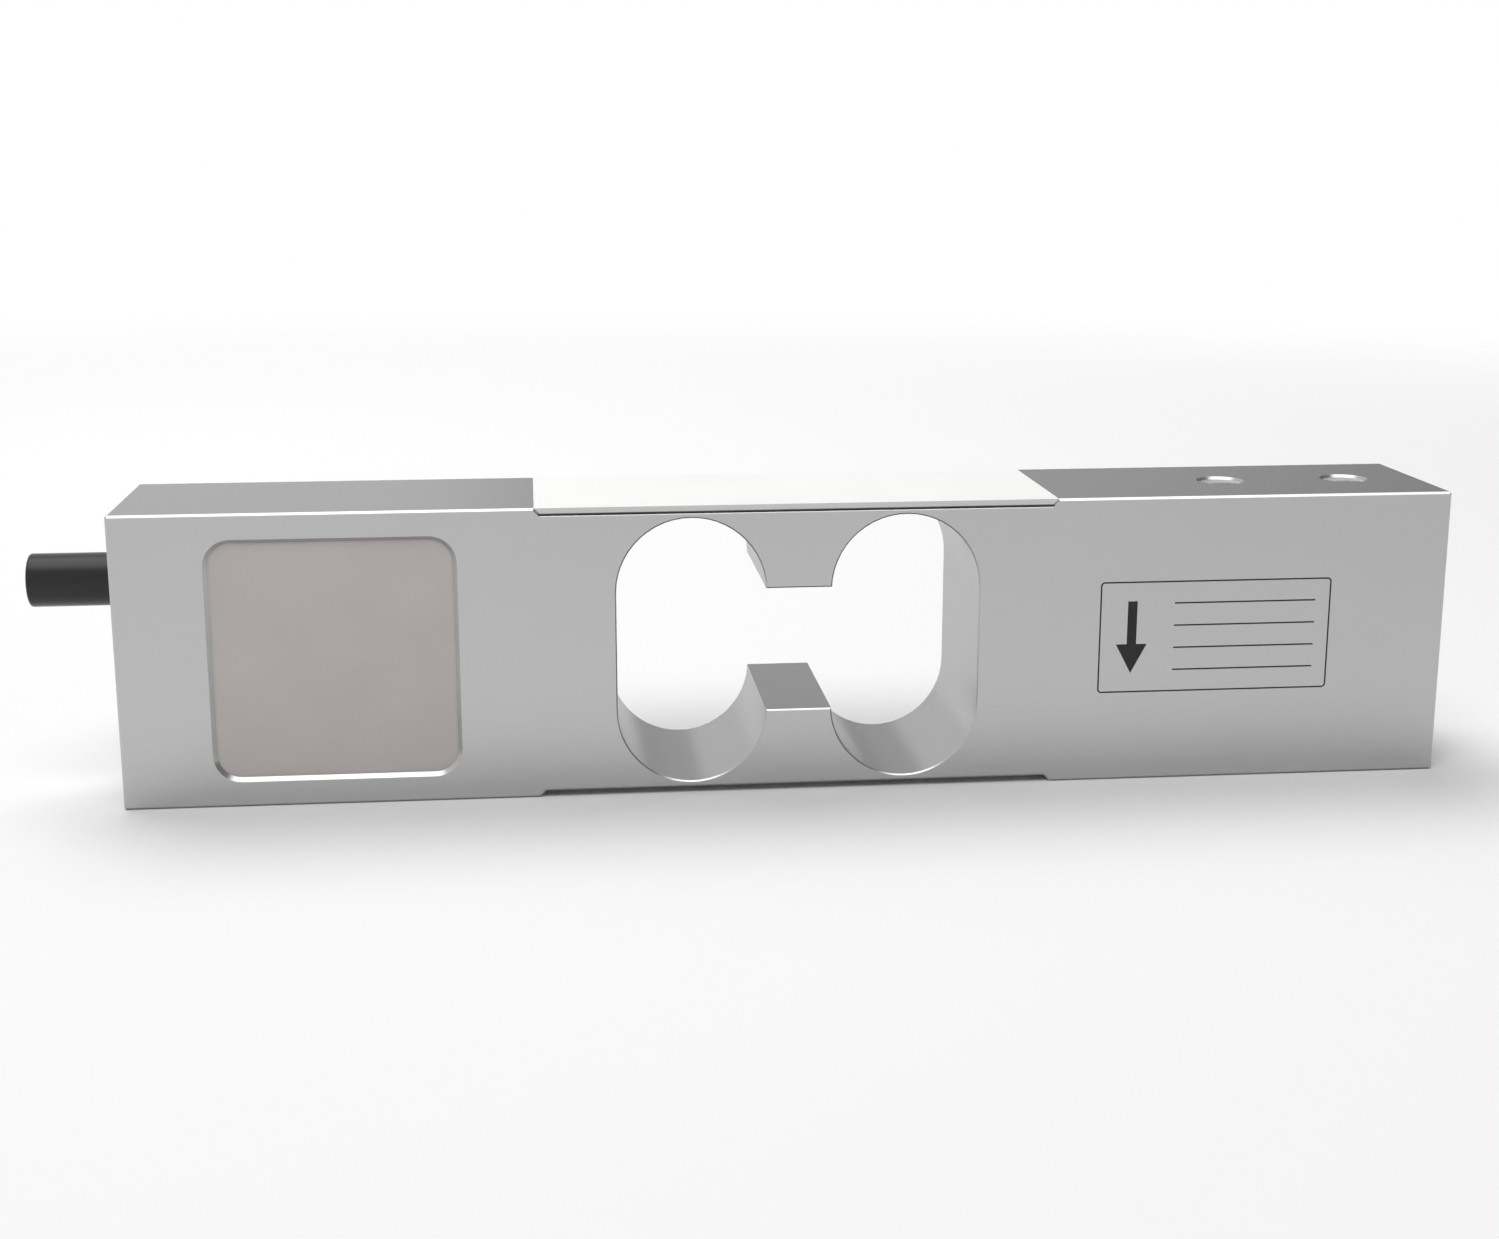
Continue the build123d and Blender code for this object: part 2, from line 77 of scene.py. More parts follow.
def addNode(tree, kind, settings=None, values=None, links=None):
    node = tree.nodes.new(kind)
    for name, value in (settings or {}).items():
        setattr(node, name, value)
    for socket, value in (values or {}).items():
        node.inputs[socket].default_value = value
    for socket, source in (links or {}).items():
        tree.links.new(source, node.inputs[socket])
    return node


def newMaterial(name):
    material = bpy.data.materials.new(name)
    material.use_nodes = True
    material.node_tree.nodes.clear()
    return material, material.node_tree


def dress(material, *names):
    for name in names:
        slots = nodes[name].data.materials
        slots.clear()
        slots.append(material)


# What a plain finish has where its own values don't say otherwise
plainFinish = {
    "stretch": (1, 1, 1),  # below 1, the grain is drawn out along that axis
    "grainDetail": 3.0,
    "grainRoughness": 0.55,
    "cloudDetail": 2.0,
    "grainShare": 0.5,  # how much the grain counts beside the clouds
    "toneSpan": (0.45, 1.05),  # the pattern's values where the dark and the light colour stand alone
    "metallic": 0.0,
    "ior": 1.5,
    "gloss": 0.5,
    "coat": 0.0,
}
uprightLimit = 0.3  # a face whose normal has less than this of Z stands upright
frontLimit = 0.5  # and one with less than this of Y faces neither the front nor the back


# A plain finish: fine grain and slow cloudiness in colour and gloss, with a bump from the same grain
def grainedMaterial(name, values):
    look = plainFinish | values
    material, tree = newMaterial(name)
    where = addNode(tree, "ShaderNodeTexCoord").outputs["Object"]
    stretched = addNode(tree, "ShaderNodeMapping", values={"Scale": look["stretch"]},
                        links={"Vector": where}).outputs["Vector"]
    grain = addNode(tree, "ShaderNodeTexNoise",
                    values={"Scale": perMetre(look["grainMm"]), "Detail": look["grainDetail"],
                            "Roughness": look["grainRoughness"]},
                    links={"Vector": stretched}).outputs["Fac"]
    clouds = addNode(tree, "ShaderNodeTexNoise",
                     values={"Scale": perMetre(look["cloudMm"]), "Detail": look["cloudDetail"]},
                     links={"Vector": where}).outputs["Fac"]
    pattern = addNode(tree, "ShaderNodeMath", {"operation": "MULTIPLY_ADD"}, {1: look["grainShare"]},
                      {0: grain, 2: clouds}).outputs[0]
    tone = addNode(tree, "ShaderNodeMapRange",
                   values={"From Min": look["toneSpan"][0], "From Max": look["toneSpan"][1]},
                   links={"Value": pattern}).outputs[0]
    colour = addNode(tree, "ShaderNodeMix", {"data_type": "RGBA"},
                     {6: linear(look["dark"]), 7: linear(look["light"])}, {0: tone}).outputs[2]
    # Painted shade: where a look gives it, upright faces take a greyer colour
    if "paintedUprightShade" in look:
        normal = addNode(tree, "ShaderNodeNewGeometry").outputs["Normal"]
        rise = addNode(tree, "ShaderNodeSeparateXYZ", links={0: normal}).outputs["Z"]
        upright = addNode(tree, "ShaderNodeMath", {"operation": "COMPARE"}, {1: 0.0, 2: uprightLimit},
                          {0: rise}).outputs[0]
        colour = addNode(tree, "ShaderNodeMix", {"data_type": "RGBA"}, {7: linear(look["paintedUprightShade"])},
                         {0: upright, 6: colour}).outputs[2]
    rough = addNode(tree, "ShaderNodeMapRange",
                    values={"To Min": look["roughness"][0], "To Max": look["roughness"][1]},
                    links={"Value": tone}).outputs[0]
    bump = addNode(tree, "ShaderNodeBump", values={"Distance": metres(look["bumpMm"])},
                   links={"Height": grain}).outputs[0]
    shader = addNode(tree, "ShaderNodeBsdfPrincipled",
                     values={"Metallic": look["metallic"], "IOR": look["ior"],
                             "Specular IOR Level": look["gloss"], "Coat Weight": look["coat"]},
                     links={"Base Color": colour, "Roughness": rough, "Normal": bump})
    addNode(tree, "ShaderNodeOutputMaterial", links={"Surface": shader.outputs[0]})
    return material


# Beam: aluminium, milled and satin anodised, which gives an even soft grey with bright broken edges
beam = {
    "light": "#bfbfbf",
    "dark": "#bdbdbd",
    "toneSpan": (0.7, 1.3),
    "edgeTint": "#e6e6e6",  # the oxide film takes some of the glare from a low angle
    "roughness": (0.25, 0.27),
    "cloudMm": 14.0,  # slow changes of tone from the anodising bath
    "grainMm": 0.12,  # the etched grain
    "grainDepthMm": 0.0002,
    "lineMm": 0.35,  # milling lines along the beam, coarser than real ones so that they show
    "lineStretch": (0.02, 1, 1),
    "cavityCentre": (58.7, 16.5),  # mm, in X and Z
    "cavityReach": (20.6, 15.3),
    "cutterLineMm": 0.25,  # cutter lines across the walls of the slots
    "cutterLineStretch": (1, 0.03, 1),
    "cutterLineDepthMm": 0.0006,
    "boreMouthBareAndLit": "#ffffff",  # bare metal at the mouths of the tapped holes, brighter than the anodised faces, and painted white there as a highlight where light falls in
    "boreDepthShade": "#585858",  # painted shade further in, darker down the hole where less light reaches
    "boreShadeFade": (1.2, 5.5),  # mm below the face, over which the painted shade comes in
    "boreRoughness": 0.6,
    "boreMetallic": 0.15,  # torn and burred by the tap, so it scatters light more than it mirrors it
    "boreRadius": 2.56,
    "holeSpacing": 15.0,
    "loadHolesX": 117.4,  # the middle of the loaded end's pair; the other pair is at the origin
    "betweenPairsX": 60.0,
    "threadPitchMm": 1.0,  # M6
    "threadDepthMm": 0.12,
}


# 1 on the walls of the cavity: within its reach, and not facing the front or the back
def onCavityWall(tree, place, facing):
    onWall = addNode(tree, "ShaderNodeMath", {"operation": "LESS_THAN"}, {1: frontLimit},
                     {0: facing["Y"]}).outputs[0]
    for axis, centre, reach in zip("XZ", beam["cavityCentre"], beam["cavityReach"]):
        near = addNode(tree, "ShaderNodeMath", {"operation": "COMPARE"},
                       {1: metres(centre), 2: metres(reach)}, {0: place[axis]}).outputs[0]
        onWall = addNode(tree, "ShaderNodeMath", {"operation": "MULTIPLY"},
                         links={0: onWall, 1: near}).outputs[0]
    return onWall


# How far a place is from the axis of the nearest tapped hole along X, and 1 on that hole's wall
def nearestHole(tree, place, facing):
    atLoadEnd = addNode(tree, "ShaderNodeMath", {"operation": "GREATER_THAN"},
                        {1: metres(beam["betweenPairsX"])}, {0: place["X"]}).outputs[0]
    fromPair = addNode(tree, "ShaderNodeMath", {"operation": "MULTIPLY_ADD"},
                       {1: -metres(beam["loadHolesX"])}, {0: atLoadEnd, 2: place["X"]}).outputs[0]
    side = addNode(tree, "ShaderNodeMath", {"operation": "SIGN"}, links={0: fromPair}).outputs[0]
    fromAxis = addNode(tree, "ShaderNodeMath", {"operation": "MULTIPLY_ADD"},
                       {1: -metres(beam["holeSpacing"] / 2)}, {0: side, 2: fromPair}).outputs[0]
    across = addNode(tree, "ShaderNodeCombineXYZ", links={0: fromAxis, 1: place["Y"]}).outputs[0]
    radius = addNode(tree, "ShaderNodeVectorMath", {"operation": "LENGTH"},
                     links={0: across}).outputs["Value"]
    within = addNode(tree, "ShaderNodeMath", {"operation": "LESS_THAN"}, {1: metres(beam["boreRadius"])},
                     {0: radius}).outputs[0]
    upright = addNode(tree, "ShaderNodeMath", {"operation": "LESS_THAN"}, {1: uprightLimit},
                      {0: facing["Z"]}).outputs[0]
    inBore = addNode(tree, "ShaderNodeMath", {"operation": "MULTIPLY"},
                     links={0: within, 1: upright}).outputs[0]
    return fromAxis, inBore


# The thread: a helix that climbs one pitch a turn, as a wave from 0 to 0.5
def threadWave(tree, place, fromAxis, inBore):
    angle = addNode(tree, "ShaderNodeMath", {"operation": "ARCTAN2"},
                    links={0: place["Y"], 1: fromAxis}).outputs[0]
    turns = addNode(tree, "ShaderNodeMath", {"operation": "DIVIDE"}, {1: 2 * math.pi},
                    {0: angle}).outputs[0]
    climb = addNode(tree, "ShaderNodeMath", {"operation": "MULTIPLY_ADD"},
                    {1: perMetre(beam["threadPitchMm"])}, {0: place["Z"], 2: turns}).outputs[0]
    ridge = addNode(tree, "ShaderNodeMath", {"operation": "PINGPONG"}, {1: 0.5}, {0: climb}).outputs[0]
    return addNode(tree, "ShaderNodeMath", {"operation": "MULTIPLY"}, links={0: ridge, 1: inBore}).outputs[0]


# Bare metal in the holes, with painted light and shade by its depth below the face: a painted highlight at
# the mouth darkening to painted shade further in, the top at one end and the bottom at the other
def borePaintedLightAndShade(tree, place):
    middle = beam["cavityCentre"][1]
    fadeStart, fadeEnd = beam["boreShadeFade"]
    fromMiddle = addNode(tree, "ShaderNodeMath", {"operation": "SUBTRACT"}, {1: metres(middle)},
                         {0: place["Z"]}).outputs[0]
    outward = addNode(tree, "ShaderNodeMath", {"operation": "ABSOLUTE"}, links={0: fromMiddle}).outputs[0]
    mouthHighlightShare = addNode(tree, "ShaderNodeMapRange", {"interpolation_type": "SMOOTHSTEP"},
                        {"From Min": metres(middle - fadeEnd), "From Max": metres(middle - fadeStart)},
                        {"Value": outward}).outputs[0]
    return addNode(tree, "ShaderNodeMix", {"data_type": "RGBA"},
                   {6: linear(beam["boreDepthShade"]), 7: linear(beam["boreMouthBareAndLit"])}, {0: mouthHighlightShare}).outputs[2]


def beamMaterial():
    material, tree = newMaterial("satinAnodisedAluminium")
    where = addNode(tree, "ShaderNodeTexCoord").outputs["Object"]
    place = addNode(tree, "ShaderNodeSeparateXYZ", links={0: where}).outputs
    normal = addNode(tree, "ShaderNodeNewGeometry").outputs["Normal"]
    absolute = addNode(tree, "ShaderNodeVectorMath", {"operation": "ABSOLUTE"}, links={0: normal}).outputs[0]
    facing = addNode(tree, "ShaderNodeSeparateXYZ", links={0: absolute}).outputs
    patterns = []
    even = (1, 1, 1)
    for size, stretch, detail in ((beam["grainMm"], even, 2.0), (beam["cloudMm"], even, 2.0),
                                  (beam["lineMm"], beam["lineStretch"], 3.0),
                                  (beam["cutterLineMm"], beam["cutterLineStretch"], 2.0)):
        stretched = addNode(tree, "ShaderNodeMapping", values={"Scale": stretch},
                            links={"Vector": where}).outputs["Vector"]
        noise = addNode(tree, "ShaderNodeTexNoise", values={"Scale": perMetre(size), "Detail": detail},
                        links={"Vector": stretched})
        patterns.append(noise.outputs["Fac"])
    grain, clouds, lines, cutterLines = patterns

    onWall = onCavityWall(tree, place, facing)
    fromAxis, inBore = nearestHole(tree, place, facing)
    mixed = addNode(tree, "ShaderNodeMath", {"operation": "ADD"}, links={0: clouds, 1: lines}).outputs[0]
    tone = addNode(tree, "ShaderNodeMapRange",
                   values={"From Min": beam["toneSpan"][0], "From Max": beam["toneSpan"][1]},
                   links={"Value": mixed}).outputs[0]
    anodised = addNode(tree, "ShaderNodeMix", {"data_type": "RGBA"},
                       {6: linear(beam["dark"]), 7: linear(beam["light"])}, {0: tone}).outputs[2]
    # the bores take their painted highlight and painted shade here
    colour = addNode(tree, "ShaderNodeMix", {"data_type": "RGBA"},
                     links={0: inBore, 6: anodised, 7: borePaintedLightAndShade(tree, place)}).outputs[2]
    satin = addNode(tree, "ShaderNodeMapRange",
                    values={"To Min": beam["roughness"][0], "To Max": beam["roughness"][1]},
                    links={"Value": tone}).outputs[0]
    rough = addNode(tree, "ShaderNodeMix", {"data_type": "FLOAT"}, {3: beam["boreRoughness"]},
                    {0: inBore, 2: satin}).outputs[0]
    metal = addNode(tree, "ShaderNodeMix", {"data_type": "FLOAT"}, {2: 1.0, 3: beam["boreMetallic"]},
                    {0: inBore}).outputs[0]

    cut = addNode(tree, "ShaderNodeMath", {"operation": "MULTIPLY"},
                  links={0: cutterLines, 1: onWall}).outputs[0]
    thread = threadWave(tree, place, fromAxis, inBore)
    bump = addNode(tree, "ShaderNodeBump", values={"Distance": metres(beam["grainDepthMm"])},
                   links={"Height": grain}).outputs[0]
    for depth, height in ((beam["cutterLineDepthMm"], cut), (2 * beam["threadDepthMm"], thread)):
        bump = addNode(tree, "ShaderNodeBump", values={"Distance": metres(depth)},
                       links={"Height": height, "Normal": bump}).outputs[0]
    shader = addNode(tree, "ShaderNodeBsdfPrincipled", values={"Specular Tint": linear(beam["edgeTint"])},
                     links={"Base Color": colour, "Metallic": metal, "Roughness": rough, "Normal": bump})
    addNode(tree, "ShaderNodeOutputMaterial", links={"Surface": shader.outputs[0]})
    return material


dress(beamMaterial(), "beam_body")
print("beam dressed")


# Gauge sealant: poured silicone, cured to a smooth matt white skin that stays a little wavy
whiteSealant = {
    "light": "#fdfdfc", "dark": "#fafaf9", "roughness": (0.42, 0.5), "ior": 1.41,
    "grainMm": 2.5, "cloudMm": 9.0, "bumpMm": 0.01,
    "paintedUprightShade": "#e2e2e1",  # painted shade: its upright sides are coloured greyer than its top, as they take less of the light from above
}
dress(grainedMaterial("whiteSiliconeSealant", whiteSealant), "top_gauge_seal", "bottom_gauge_seal")

# Cable sealant: silicone pressed in round the cable, dull grey and slightly rippled
greySealant = {
    "light": "#4a4a49", "dark": "#3c3c3b", "roughness": (0.4, 0.5), "ior": 1.41,
    "grainMm": 0.6, "cloudMm": 3.0, "bumpMm": 0.01,
}
dress(grainedMaterial("greySiliconeSealant", greySealant), "cable_seal")

# Potting: a soft silicone gel over the board, milky and wet to the eye
gelPotting = {
    "light": "#dcdcd2", "dark": "#cfcfc3", "roughness": (0.15, 0.25), "ior": 1.41,
    "grainMm": 1.5, "cloudMm": 6.0, "bumpMm": 0.01,
}
dress(grainedMaterial("siliconeGel", gelPotting), "pocket_potting")

# Bonds: filled epoxy, squeezed flat, a dull grey with fine specks
adhesive = {
    "light": "#a3a39c", "dark": "#8f8f88", "roughness": (0.45, 0.6),
    "grainMm": 0.3, "cloudMm": 2.0, "bumpMm": 0.01,
}
dress(grainedMaterial("curedEpoxyAdhesive", adhesive), "cover_bond", "board_bond")

# Cover plate: powder-coated steel sheet, an even warm grey with a fine orange peel
coverPlate = {
    "light": "#ccc6c3", "dark": "#c6c0bd", "roughness": (0.42, 0.5),
    "grainMm": 0.35, "cloudMm": 8.0, "bumpMm": 0.0015,
}
dress(grainedMaterial("greyPowderCoat", coverPlate), "pocket_cover")
print("sealants and cover dressed")


def makePiece(name, shape, material):
    bmesh.ops.recalc_face_normals(shape, faces=shape.faces[:])
    mesh = bpy.data.meshes.new(name)
    shape.to_mesh(mesh)
    shape.free()
    mesh.materials.append(material)
    piece = bpy.data.objects.new(name, mesh)
    scene.collection.objects.link(piece)
    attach(piece, "root")


# Bead: the adhesive that fills the joint round the cover, level with it, a dull grey close to the cover's
bead = {
    "size": 26.4,  # mm, over its outside, and the other sizes are in mm too
    "corner": 2.6,
    "cornerSteps": 10,
    "width": 0.22,
    "depth": 0.14,
    "centre": (7.3, 16.5),  # in X and Z
    "front": -10.06,
    "light": "#c8c2bf", "dark": "#beb8b5", "roughness": (0.45, 0.6),
    "grainMm": 0.2, "cloudMm": 3.0, "bumpMm": 0.004,
}


def makeBead():
    shape = bmesh.new()
    bmesh.ops.create_grid(shape, x_segments=1, y_segments=1, size=metres(bead["size"] / 2))
    bmesh.ops.bevel(shape, geom=shape.verts[:], offset=metres(bead["corner"]), segments=bead["cornerSteps"],
                    profile=0.5, affect="VERTICES", material=-1)
    middle = shape.faces[:]
    bmesh.ops.inset_region(shape, faces=middle, thickness=metres(bead["width"]), use_boundary=True,
                           use_even_offset=True)
    bmesh.ops.delete(shape, geom=middle, context="FACES")
    extruded = bmesh.ops.extrude_face_region(shape, geom=shape.faces[:])["geom"]
    raised = [v for v in extruded if isinstance(v, bmesh.types.BMVert)]
    bmesh.ops.translate(shape, vec=(0, 0, metres(bead["depth"])), verts=raised)
    upright = Matrix.Rotation(math.radians(90), 3, "X")
    bmesh.ops.rotate(shape, cent=(0, 0, 0), matrix=upright, verts=shape.verts[:])
    place = (bead["centre"][0], bead["front"] + bead["depth"], bead["centre"][1])
    bmesh.ops.translate(shape, vec=[metres(part) for part in place], verts=shape.verts[:])
    makePiece("coverBead", shape, grainedMaterial("greyJointAdhesive", bead))


makeBead()

# Painted shadow: a thin dark strip along the sealant's foot, standing in for the shadow line under the
# sealant's edge
shadowLine = {
    "ends": (29.95, 87.45),  # mm, along X, and the other sizes are in mm too
    "foot": 32.28,
    "height": 0.1,
    "depth": 0.2,
    "side": 10.485,  # how far out it reaches, to the front and to the back
    "light": "#5a5a5a", "dark": "#4a4a4a", "roughness": (0.5, 0.6),
    "grainMm": 0.3, "cloudMm": 4.0, "bumpMm": 0.004,
}


def makeShadowLine():
    shape = bmesh.new()
    start, end = shadowLine["ends"]
    size = Vector((end - start, shadowLine["depth"], shadowLine["height"]))
    for side in (-1, 1):
        place = Vector(((start + end) / 2, side * (shadowLine["side"] - shadowLine["depth"] / 2),
                        shadowLine["foot"] + shadowLine["height"] / 2))
        box = Matrix.Translation(place / 1000) @ Matrix.Diagonal(size / 1000).to_4x4()  # in metres
        bmesh.ops.create_cube(shape, size=1.0, matrix=box)
    # a dark piece put where there is only shadow
    makePiece("sealantShadowLine", shape, grainedMaterial("paintedShadowStrip", shadowLine))


makeShadowLine()
print("bead and primer made")

# Marking: enamel wiped into an engraved line, a flat black that is slightly uneven at its rim
markingInk = {
    "light": "#202020", "dark": "#151515", "roughness": (0.5, 0.7),
    "grainMm": 0.08, "cloudMm": 2.0, "bumpMm": 0.004,
}
dress(grainedMaterial("blackMarkingEnamel", markingInk), "marking_fill")


# Cable jacket: extruded PVC, satin black with faint lines along it
jacket = {
    "light": "#1a1a1a", "dark": "#141414", "roughness": (0.27, 0.32), "ior": 1.53, "gloss": 0.38,
    "grainMm": 0.1, "cloudMm": 3.0, "bumpMm": 0.002, "stretch": (0.06, 1, 1),
}
dress(grainedMaterial("blackPvcJacket", jacket), "cable_jacket")

# Shield: braided tinned copper, bright silver that the weave breaks up
braid = {
    "light": "#d2d2cf", "dark": "#8d8d8a", "roughness": (0.25, 0.4), "metallic": 1.0,
    "grainMm": 0.12, "cloudMm": 0.8, "bumpMm": 0.03, "grainShare": 1.2,
}
dress(grainedMaterial("tinnedCopperBraid", braid), "cable_shield", "drain_wire")

# Filler: twisted cotton yarn, chalky and off-white
filler = {
    "light": "#e8e6df", "dark": "#c9c6bc", "roughness": (0.7, 0.9),
    "grainMm": 0.06, "cloudMm": 0.8, "bumpMm": 0.02,
}
dress(grainedMaterial("cottonFillerYarn", filler), "cable_filler")

# Ferrule: drawn brass, soft gold with scuffs from the crimping tool
ferrule = {
    "light": "#d8b978", "dark": "#c7a662", "roughness": (0.25, 0.38), "metallic": 1.0,
    "grainMm": 0.2, "cloudMm": 2.0, "bumpMm": 0.003,
}
dress(grainedMaterial("crimpedBrass", ferrule), "cable_ferrule")

# Cores: extruded PVC in four colours, each even with a soft gloss
coreInsulation = {"roughness": (0.3, 0.4), "ior": 1.53, "grainMm": 0.15, "cloudMm": 2.0, "bumpMm": 0.003}
coreColours = {
    "red": ("#b3261e", "#97180f"),
    "black": ("#262626", "#1b1b1b"),
    "green": ("#2f7d45", "#226235"),
    "white": ("#e9e9e6", "#dadad5"),
}
for name, (light, dark) in coreColours.items():
    coreLook = coreInsulation | {"light": light, "dark": dark}
    dress(grainedMaterial(name + "PvcInsulation", coreLook), "core_" + name)
print("cable dressed")


# Bridge board: lacquered glass-fibre laminate, deep green with the cloth faintly showing
boardLaminate = {
    "light": "#2d6b3f", "dark": "#1f5430", "roughness": (0.3, 0.4), "ior": 1.55,
    "grainMm": 0.4, "cloudMm": 3.0, "bumpMm": 0.006,
}
dress(grainedMaterial("lacqueredGlassFibreBoard", boardLaminate), "bridge_board")

# Terminal strips: bare glass-fibre laminate, honey-coloured and lightly mottled
terminalLaminate = {
    "light": "#c08d3e", "dark": "#a2742f", "roughness": (0.35, 0.45), "ior": 1.55,
    "grainMm": 0.3, "cloudMm": 1.5, "bumpMm": 0.004,
}
dress(grainedMaterial("amberGlassFibreStrip", terminalLaminate),
      "terminal_strip_top", "terminal_strip_bottom")

# Copper: etched pads and stranded conductors, a warm pink metal that has dulled a little
copper = {
    "light": "#dd9a75", "dark": "#c47d57", "roughness": (0.25, 0.38), "metallic": 1.0,
    "grainMm": 0.1, "cloudMm": 1.0, "bumpMm": 0.003,
}
dress(grainedMaterial("bareCopper", copper), "board_copper", "core_conductors")

# Solder: tin, melted and set, bright and slightly frosted
solder = {
    "light": "#dcdcd9", "dark": "#bdbdb9", "roughness": (0.16, 0.3), "metallic": 1.0,
    "grainMm": 0.3, "cloudMm": 1.0, "bumpMm": 0.01,
}
dress(grainedMaterial("tinSolder", solder), "board_solder", "gauge_solder_top", "gauge_solder_bottom")

# Gauge wiring: copper under a clear coat of enamel, orange-brown with a sharp gloss
enamelWire = {
    "light": "#b5652f", "dark": "#934a1c", "roughness": (0.2, 0.3), "metallic": 1.0, "coat": 1.0,
    "grainMm": 0.1, "cloudMm": 1.0, "bumpMm": 0.002,
}
dress(grainedMaterial("enamelledCopperWire", enamelWire),
      "gauge_jumpers_top", "gauge_jumpers_bottom", "gauge_leads_top", "gauge_leads_bottom")

# Trimming resistors: thick-film chips under a glass glaze, dark and satin
chip = {
    "light": "#2a2a2c", "dark": "#1c1c1e", "roughness": (0.4, 0.5),
    "grainMm": 0.06, "cloudMm": 0.8, "bumpMm": 0.004,
}
dress(grainedMaterial("thickFilmChip", chip), *(name for name in nodes if name.endswith("_resistor")))

# Gauge carriers: cast polyimide film, an even amber with a smooth gloss
carrier = {
    "light": "#c98a2c", "dark": "#b3751f", "roughness": (0.2, 0.3), "ior": 1.7,
    "grainMm": 0.5, "cloudMm": 3.0, "bumpMm": 0.002,
}
dress(grainedMaterial("polyimideFilm", carrier),
      *(name for name in nodes if name.startswith("gauge_carrier_")))

# Gauge grids: rolled and etched constantan, a warm grey metal with fine lines from the rolls
foil = {
    "light": "#bcae96", "dark": "#a4967e", "roughness": (0.28, 0.4), "metallic": 1.0,
    "grainMm": 0.08, "cloudMm": 1.0, "bumpMm": 0.001, "stretch": (0.05, 1, 1),
}
dress(grainedMaterial("etchedConstantanFoil", foil),
      *(name for name in nodes if name.startswith("gauge_grid_")))
print("wiring dressed")


# Floor: a matt paper sweep, plain white, that fades to the white behind it away from the shadow
floor = {
    "radius": 4.0,  # metres
    "rimSteps": 96,
    "colour": "#fefefe",
    "fadeFrom": 0.2,  # metres from the origin
    "fadeTo": 0.65,
    "fibreMm": 0.4,
    "fibreDepthMm": 0.004,
}


# 1 for a ray that the eye follows: straight from the camera, mirrored or let through
def seenDirectly(tree):
    path = addNode(tree, "ShaderNodeLightPath").outputs
    mirrored = addNode(tree, "ShaderNodeMath", {"operation": "MAXIMUM"},
                       links={0: path["Is Camera Ray"], 1: path["Is Glossy Ray"]}).outputs[0]
    return addNode(tree, "ShaderNodeMath", {"operation": "MAXIMUM"},
                   links={0: mirrored, 1: path["Is Transmission Ray"]}).outputs[0]


def floorMaterial():
    material, tree = newMaterial("mattPaperSweep")
    where = addNode(tree, "ShaderNodeTexCoord").outputs["Object"]
    fibres = addNode(tree, "ShaderNodeTexNoise", values={"Scale": perMetre(floor["fibreMm"]), "Detail": 2.0},
                     links={"Vector": where}).outputs["Fac"]
    bump = addNode(tree, "ShaderNodeBump", values={"Distance": metres(floor["fibreDepthMm"])},
                   links={"Height": fibres}).outputs[0]
    paper = addNode(tree, "ShaderNodeBsdfDiffuse", values={"Color": linear(floor["colour"])},
                    links={"Normal": bump}).outputs[0]
    away = addNode(tree, "ShaderNodeVectorMath", {"operation": "LENGTH"}, links={0: where}).outputs["Value"]
    fade = addNode(tree, "ShaderNodeMapRange", {"interpolation_type": "SMOOTHSTEP"},
                   {"From Min": floor["fadeFrom"], "From Max": floor["fadeTo"]}, {"Value": away}).outputs[0]
    share = addNode(tree, "ShaderNodeMath", {"operation": "MULTIPLY"},
                    links={0: fade, 1: seenDirectly(tree)}).outputs[0]
    white = addNode(tree, "ShaderNodeEmission", values={"Color": (1, 1, 1, 1), "Strength": 1.0}).outputs[0]
    faded = addNode(tree, "ShaderNodeMixShader", links={0: share, 1: paper, 2: white}).outputs[0]
    addNode(tree, "ShaderNodeOutputMaterial", links={"Surface": faded})
    return material


def makeFloor():
    shape = bmesh.new()
    bmesh.ops.create_circle(shape, cap_ends=True, segments=floor["rimSteps"], radius=floor["radius"])
    mesh = bpy.data.meshes.new("floor")
    shape.to_mesh(mesh)
    shape.free()
    mesh.materials.append(floorMaterial())
    sweep = bpy.data.objects.new("floor", mesh)
    scene.collection.objects.link(sweep)


makeFloor()
print("floor laid")


# Studio: what metal mirrors, bright on the left, darker on the right and brightest overhead
studio = {
    "surround": 0.19,  # what the surround adds to matt surfaces
    "left": "#ececec",
    "right": "#cacaca",
    "rightSpan": (-0.06, 0.04),  # the direction's X, from where left ends to where right begins
    "farRight": "#8c8c8c",
    "farRightSpan": (0.2, 0.6),
    "overhead": 2.6,  # how bright the middle of the ceiling shows in metal
    "overheadSpan": (0.8, 0.92),  # the direction's Z
}


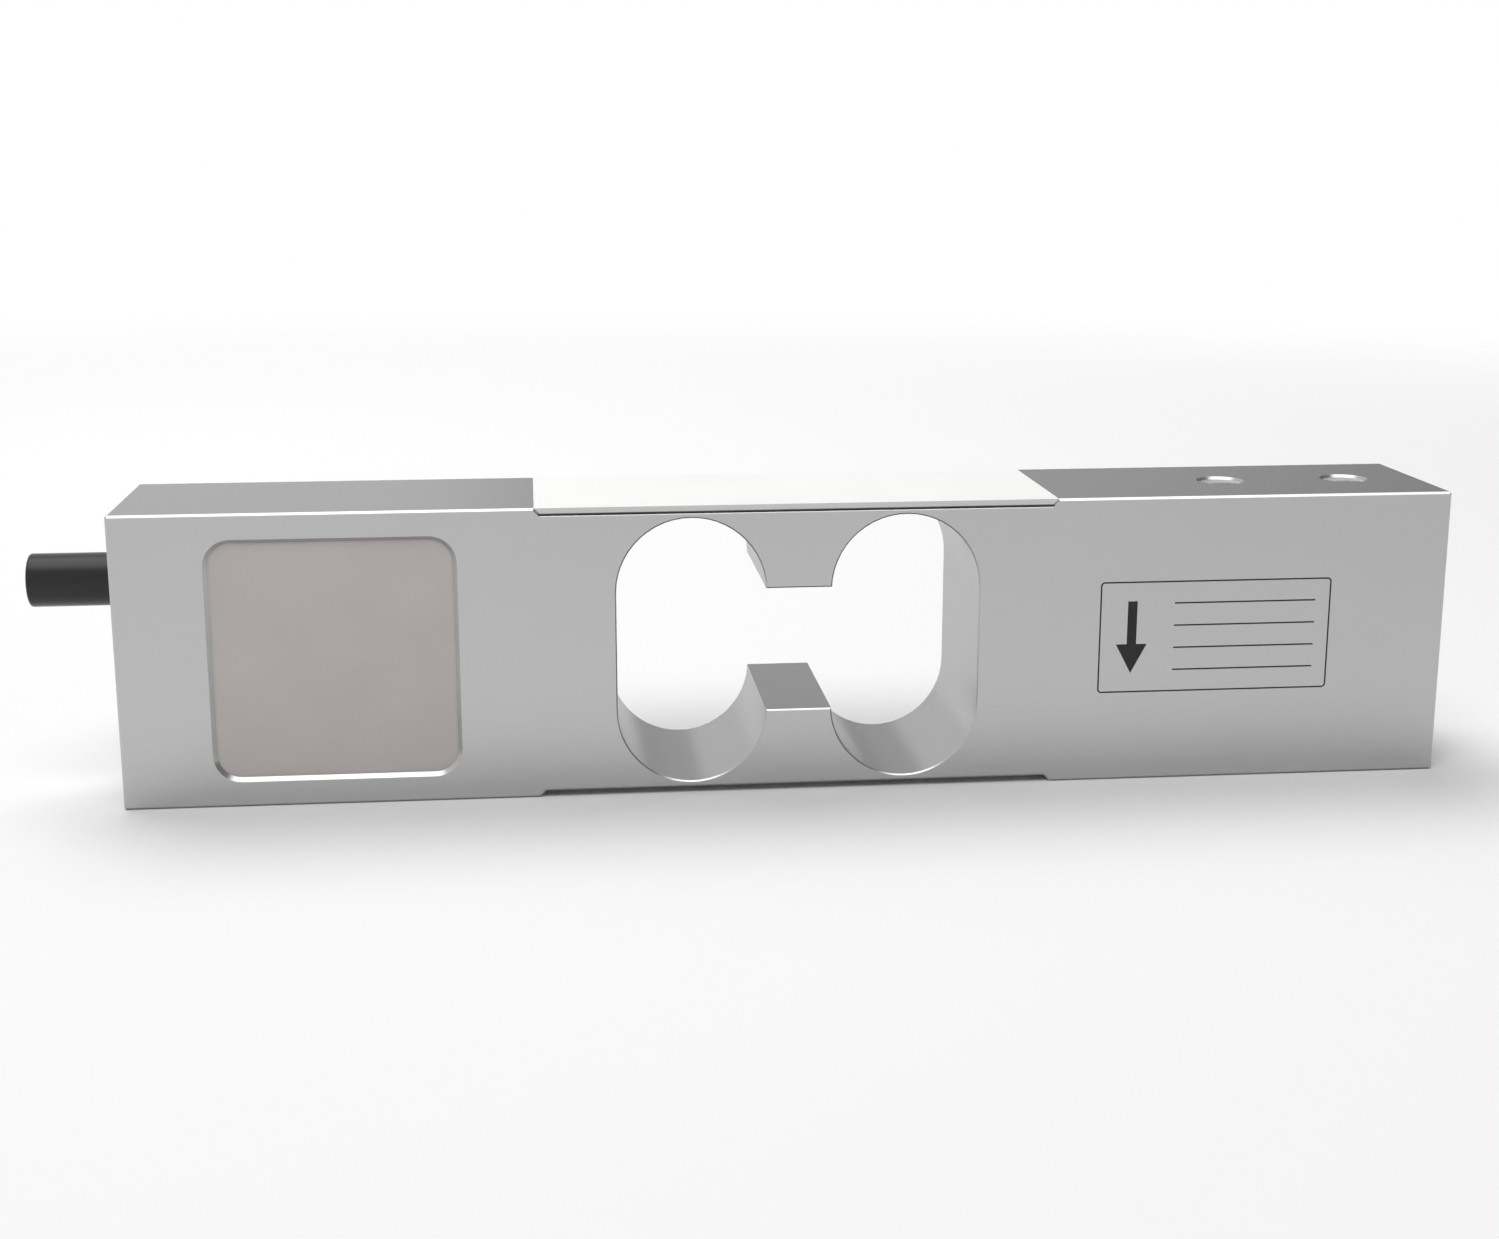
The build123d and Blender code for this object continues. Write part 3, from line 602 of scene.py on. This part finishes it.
def makeStudio():
    world = bpy.data.worlds.new("studio")
    world.use_nodes = True
    tree = world.node_tree
    tree.nodes.clear()
    direction = addNode(tree, "ShaderNodeTexCoord").outputs["Generated"]
    parts = addNode(tree, "ShaderNodeSeparateXYZ", links={0: direction}).outputs
    shares = []
    for axis, span in (("X", studio["rightSpan"]), ("X", studio["farRightSpan"]),
                       ("Z", studio["overheadSpan"])):
        share = addNode(tree, "ShaderNodeMapRange", {"interpolation_type": "SMOOTHSTEP"},
                        {"From Min": span[0], "From Max": span[1]}, {"Value": parts[axis]})
        shares.append(share.outputs[0])
    toRight, toFarRight, toOverhead = shares
    overhead = (studio["overhead"],) * 3 + (1.0,)
    surround = (studio["surround"],) * 3 + (1.0,)
    halves = addNode(tree, "ShaderNodeMix", {"data_type": "RGBA"},
                     {6: linear(studio["left"]), 7: linear(studio["right"])}, {0: toRight}).outputs[2]
    sides = addNode(tree, "ShaderNodeMix", {"data_type": "RGBA"}, {7: linear(studio["farRight"])},
                    {0: toFarRight, 6: halves}).outputs[2]
    mirrored = addNode(tree, "ShaderNodeMix", {"data_type": "RGBA"}, {7: overhead},
                       {0: toOverhead, 6: sides}).outputs[2]
    lit = addNode(tree, "ShaderNodeMix", {"data_type": "RGBA"}, {6: surround},
                  {0: seenDirectly(tree), 7: mirrored}).outputs[2]
    fromCamera = addNode(tree, "ShaderNodeLightPath").outputs["Is Camera Ray"]
    shown = addNode(tree, "ShaderNodeMix", {"data_type": "RGBA"}, {7: (1, 1, 1, 1)},
                    {0: fromCamera, 6: lit}).outputs[2]
    background = addNode(tree, "ShaderNodeBackground", values={"Strength": 1.0}, links={"Color": shown})
    addNode(tree, "ShaderNodeOutputWorld", links={"Surface": background.outputs[0]})
    scene.world = world


makeStudio()

# Soft boxes: large round lamps over the part, hidden from metal, which shows the studio instead
softBoxes = {
    "aim": (0.05, 0.0, 0.015),  # metres, and so are the size and the places
    "size": 0.6,
    "lamps": {  # place, and power in watts
        "rearLamp": ((-0.14, 0.34, 0.8), 3.7),
        "frontLamp": ((-0.04, -0.38, 0.8), 2.9),
        "lowRearLamp": ((0.05, 0.5, 0.65), 0.9),
    },
}


def makeSoftBox(name, place, power):
    data = bpy.data.lights.new(name, "AREA")
    data.shape = "DISK"
    data.size = softBoxes["size"]
    data.energy = power
    lamp = bpy.data.objects.new(name, data)
    lamp.location = place
    toAim = Vector(softBoxes["aim"]) - Vector(place)
    lamp.rotation_euler = toAim.to_track_quat("-Z", "Y").to_euler()
    lamp.visible_glossy = False
    scene.collection.objects.link(lamp)


for name, (place, power) in softBoxes["lamps"].items():
    makeSoftBox(name, place, power)
print("light set")
